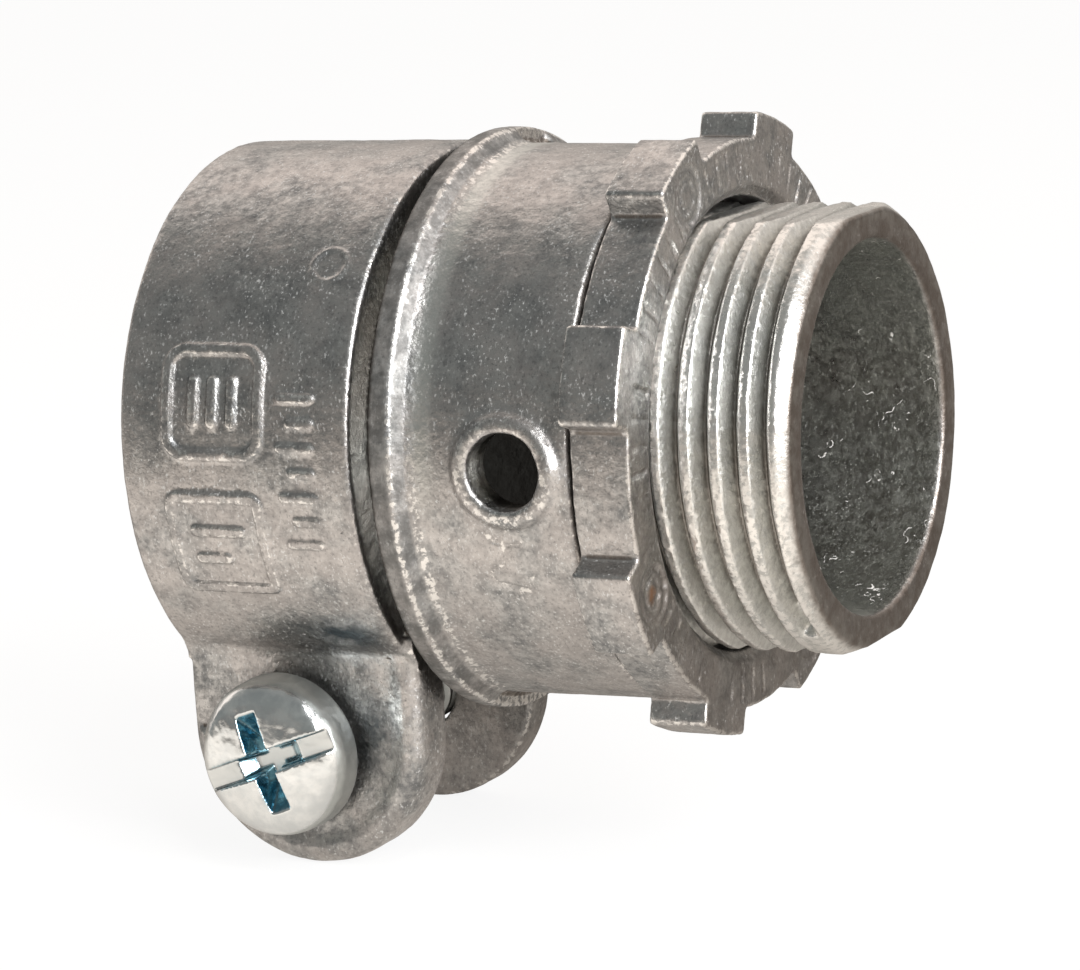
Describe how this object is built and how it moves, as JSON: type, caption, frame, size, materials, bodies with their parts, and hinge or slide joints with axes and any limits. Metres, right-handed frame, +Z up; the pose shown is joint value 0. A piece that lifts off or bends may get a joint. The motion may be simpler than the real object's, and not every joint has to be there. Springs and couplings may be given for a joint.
{
  "type": "squeeze conduit connector",
  "caption": "Squeeze connector for 3/4 inch flexible metal conduit: a threaded nose with locknut, a sleeve and a split ring that a side screw closes.",
  "frame": {"origin": "on the conduit axis, in the plane of the shoulder that bears on the box wall", "axes": "+X out of the threaded mouth, +Z up, clamp ears hang towards -Z, screw head faces -Y"},
  "size_m": [0.0412, 0.0362, 0.0438],
  "materials": {
    "cast_zinc": "as-cast zinc alloy, mottled satin grey, brighter on edges",
    "nut_zinc": "as-cast zinc alloy, mottled satin grey",
    "plated_steel": "bright zinc-plated steel"
  },
  "bodies": {
    "body": {"body_casting": "cast_zinc"},
    "strap": {"clamp_strap": "cast_zinc"},
    "screw": {"clamp_screw": "plated_steel"},
    "nut": {"locknut": "nut_zinc"}
  },
  "joints": [
    {"name": "screw_spin", "type": "hinge", "parent": "strap", "child": "screw", "pos_m": [-0.02215, -0.0118, -0.0185], "axis": [0, 1, 0], "range_deg": [0, 955]},
    {"name": "strap_close", "type": "hinge", "parent": "body", "child": "strap", "pos_m": [-0.0216, 0.00517, 0.01339], "axis": [1, 0, 0], "range_deg": [0, 5]},
    {"name": "locknut_slide", "type": "slide", "parent": "body", "child": "nut", "axis": [1, 0, 0], "range_m": [-0.00025, 0.0079]}
  ],
  "couplings": [
    {"joint": "screw_spin", "follows": "strap_close", "ratio": 191}
  ]
}
